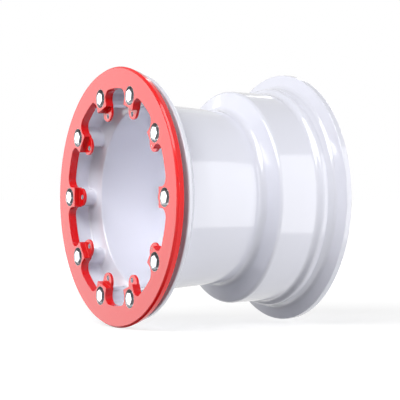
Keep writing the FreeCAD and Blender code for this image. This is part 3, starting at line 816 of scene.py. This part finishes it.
class WHEEL_OT_bolts(bpy.types.Operator):
    """Build the ring bolts, each with its head turned as it was tightened"""
    bl_idname = "wheel.bolts"
    bl_label = "Ring bolts"

    def execute(self, context):
        wheel = context.scene.wheel
        bolts = wheel.bolt
        zinc = finish_material("zinc_steel", wheel.colours.zinc, 0.2,
                               (0.0006, 0.000003, 0.08), shade=0.1, metallic=1.0)
        steel = finish_material("insert_steel", wheel.colours.steel, 0.35,
                                (0.0006, 0.000004, 0.08), shade=0.12, metallic=1.0)
        for index, centre in enumerate(spread(bolts.count, bolts.circle / MM)):
            uneven = math.radians(17) * math.sin(7.3 * index + 0.6)
            patches = placed(bolt_patches(bolts, np.angle(centre) + uneven), centre,
                             wheel.ring.tab_depth / MM)
            number = "%02d" % (index + 1)
            fused("flange_bolt_" + number, patches, zinc, "ring_bolt_" + number)
            dress("thread_insert_" + number, steel)
        return {"FINISHED"}


class WHEEL_OT_valve(bpy.types.Operator):
    """Give the tyre valve its rubber, brass and plastic"""
    bl_idname = "wheel.valve"
    bl_label = "Valve"

    def execute(self, context):
        colours = context.scene.wheel.colours
        dress("valve_body", finish_material("valve_rubber", colours.rubber, 0.5,
                                            (0.0009, 0.00001, 0.1), shade=0.2))
        brass = finish_material("brass", colours.brass, 0.25, (0.0005, 0.000003, 0.1),
                                shade=0.12, metallic=1.0)
        dress("valve_tube", brass)
        dress("valve_core", brass)
        dress("valve_cap", finish_material("black_plastic", colours.plastic, 0.38,
                                           (0.0006, 0.000006, 0.08), shade=0.15))
        return {"FINISHED"}


# ---------------------------------------------------------------- studio

def aimed_lamp(name, kind, place, aim, power):
    """Lamp of a kind at a place, facing a point."""
    light = bpy.data.lights.new(name, kind)
    light.energy = power
    lamp = bpy.data.objects.new(name, light)
    x, y, z = (a - b for a, b in zip(aim, place))
    lamp.location = place
    lamp.rotation_euler = (math.pi / 2 + math.atan2(z, math.hypot(x, y)), 0,
                           math.atan2(-x, y))
    bpy.context.scene.collection.objects.link(lamp)
    return light


def lay_floor(half=60.0):
    """White floor that keeps the wheel's shadow and lets the panels' light through.

    Its own glow rises with the distance from the wheel, where the panels' light fades.
    """
    low = cad_box[0][2]
    mesh = bpy.data.meshes.new("floor")
    mesh.from_pydata([(-half, -half, low), (half, -half, low), (half, half, low),
                      (-half, half, low)], [], [(0, 1, 2, 3)])
    floor = bpy.data.objects.new("floor", mesh)
    bpy.context.scene.collection.objects.link(floor)
    material = bpy.data.materials.new("floor_white")
    mesh.materials.append(material)
    tree = empty_tree(material)
    path, place = add(tree, "ShaderNodeLightPath"), add(tree, "ShaderNodeTexCoord")
    away = add(tree, "ShaderNodeVectorMath")
    away.operation = "LENGTH"
    rise = add(tree, "ShaderNodeMapRange", From_Min=0.35, From_Max=1.5, To_Min=0.72, To_Max=1.0)
    rise.interpolation_type = "SMOOTHSTEP"
    diffuse = add(tree, "ShaderNodeBsdfDiffuse", Color=(0.4, 0.4, 0.4, 1))
    glow = add(tree, "ShaderNodeEmission", Color=(1, 1, 1, 1))
    clear = add(tree, "ShaderNodeBsdfTransparent", Color=(1, 1, 1, 1))
    both, seen = add(tree, "ShaderNodeAddShader"), add(tree, "ShaderNodeMixShader")
    out = add(tree, "ShaderNodeOutputMaterial")
    wire(tree,
         (place, "Object", away, 0), (away, "Value", rise, "Value"),
         (rise, "Result", glow, "Strength"), (diffuse, 0, both, 0), (glow, 0, both, 1),
         (path, "Is Camera Ray", seen, "Fac"), (clear, 0, seen, 1), (both, 0, seen, 2),
         (seen, 0, out, "Surface"))


class WHEEL_OT_stage(bpy.types.Operator):
    """Set up the camera, the panels, the surround and the floor"""
    bl_idname = "wheel.stage"
    bl_label = "Studio"

    def execute(self, context):
        studio = context.scene.wheel.studio
        context.scene.view_settings.view_transform = "Standard"
        self.set_camera(context.scene, studio)
        self.set_lamps(studio)
        self.set_surround(context.scene, studio)
        if studio.floor:
            lay_floor()
        return {"FINISHED"}

    def set_camera(self, scene, studio):
        """Camera that sees the wheel as the photo does."""
        camera = bpy.data.cameras.new("photo_camera")
        camera.lens, camera.sensor_width = studio.lens, 36.0
        camera.shift_y = -0.00698
        camera.clip_end = 200.0
        view = bpy.data.objects.new("photo_camera", camera)
        x, y, z = CAMERA_PLACE
        view.location = (x, FRONT * MM + y, z)
        view.rotation_euler = (math.pi / 2, 0.0, studio.turn)
        scene.collection.objects.link(view)
        scene.camera = view

    def set_lamps(self, studio):
        """Panels round the wheel, and a narrow lamp that shines into the barrel."""
        for name, place, aim, width, height in PANELS:
            light = aimed_lamp(name, "AREA", place, aim, getattr(studio, name))
            light.shape, light.size, light.size_y = "RECTANGLE", width, height
        bpy.data.objects["low_panel"].visible_glossy = False
        beam = aimed_lamp("inner_lamp", "SPOT", BEAM_PLACE, BEAM_AIM, studio.inner_lamp)
        beam.spot_size, beam.spot_blend, beam.shadow_soft_size = math.radians(6.7), 1.0, 0.04

    def set_surround(self, scene, studio):
        """World that is white to the camera, and gives a weak even light.

        What mirrors it sees a light grey. It is darkest low in front on the left, where
        the direction's product with (0.5, 0.5, 0.7) is least, and greyer towards the top.
        """
        scene.world = bpy.data.worlds.new("surround")
        tree = empty_tree(scene.world)
        path, place = add(tree, "ShaderNodeLightPath"), add(tree, "ShaderNodeTexCoord")
        height, toward = add(tree, "ShaderNodeSeparateXYZ"), add(tree, "ShaderNodeVectorMath")
        toward.operation = "DOT_PRODUCT"
        toward.inputs[1].default_value = (0.5, 0.5, 0.7)
        ground = add(tree, "ShaderNodeMapRange", From_Min=-0.95, From_Max=-0.6, To_Min=0.05,
                     To_Max=0.8)
        ceiling = add(tree, "ShaderNodeMapRange", From_Min=0.45, From_Max=0.95, To_Min=0.8,
                      To_Max=0.5)
        ground.interpolation_type = ceiling.interpolation_type = "SMOOTHSTEP"
        mirrored = maths(tree, "MINIMUM")
        shown, strength, seen = (maths(tree, "MAXIMUM") for _ in range(3))
        soft = add(tree, "ShaderNodeBackground", Color=(1, 1, 1, 1), Strength=studio.level)
        white = add(tree, "ShaderNodeBackground", Color=(1, 1, 1, 1), Strength=1.0)
        mix, out = add(tree, "ShaderNodeMixShader"), add(tree, "ShaderNodeOutputWorld")
        wire(tree,
             (place, "Generated", toward, 0), (toward, "Value", ground, "Value"),
             (place, "Generated", height, 0), (height, "Z", ceiling, "Value"),
             (ground, "Result", mirrored, 0), (ceiling, "Result", mirrored, 1),
             (path, "Is Camera Ray", shown, 0), (path, "Is Transmission Ray", shown, 1),
             (shown, 0, strength, 0), (mirrored, 0, strength, 1),
             (shown, 0, seen, 0), (path, "Is Glossy Ray", seen, 1),
             (strength, 0, white, "Strength"), (seen, 0, mix, "Fac"),
             (soft, 0, mix, 1), (white, 0, mix, 2), (mix, 0, out, "Surface"))


class WHEEL_PT_panel(bpy.types.Panel):
    """Sizes, colours and steps of the beadlock wheel"""
    bl_idname = "WHEEL_PT_panel"
    bl_label = "Beadlock wheel"
    bl_space_type = "VIEW_3D"
    bl_region_type = "UI"
    bl_category = "Wheel"

    def draw(self, context):
        wheel = context.scene.wheel
        for group in (wheel.barrel, wheel.ring, wheel.bolt, wheel.colours, wheel.studio):
            box = self.layout.box()
            for name in group.bl_rna.properties.keys():
                if name not in ("rna_type", "name"):
                    box.prop(group, name)
        for step in STEPS:
            self.layout.operator(step.bl_idname)


STEPS = (WHEEL_OT_barrel, WHEEL_OT_ring, WHEEL_OT_bolts, WHEEL_OT_valve, WHEEL_OT_stage)
CLASSES = (BarrelSizes, RingSizes, BoltSizes, FinishColours, StudioSettings, WheelSettings,
           *STEPS, WHEEL_PT_panel)


def register():
    for item in CLASSES:
        bpy.utils.register_class(item)
    bpy.types.Scene.wheel = PointerProperty(type=WheelSettings)


def unregister():
    del bpy.types.Scene.wheel
    for item in reversed(CLASSES):
        bpy.utils.unregister_class(item)


def main():
    """Build every piece and the stage."""
    register()
    bpy.ops.wheel.barrel()
    bpy.ops.wheel.ring()
    bpy.ops.wheel.bolts()
    bpy.ops.wheel.valve()
    bpy.ops.wheel.stage()


if __name__ == "__main__":
    main()
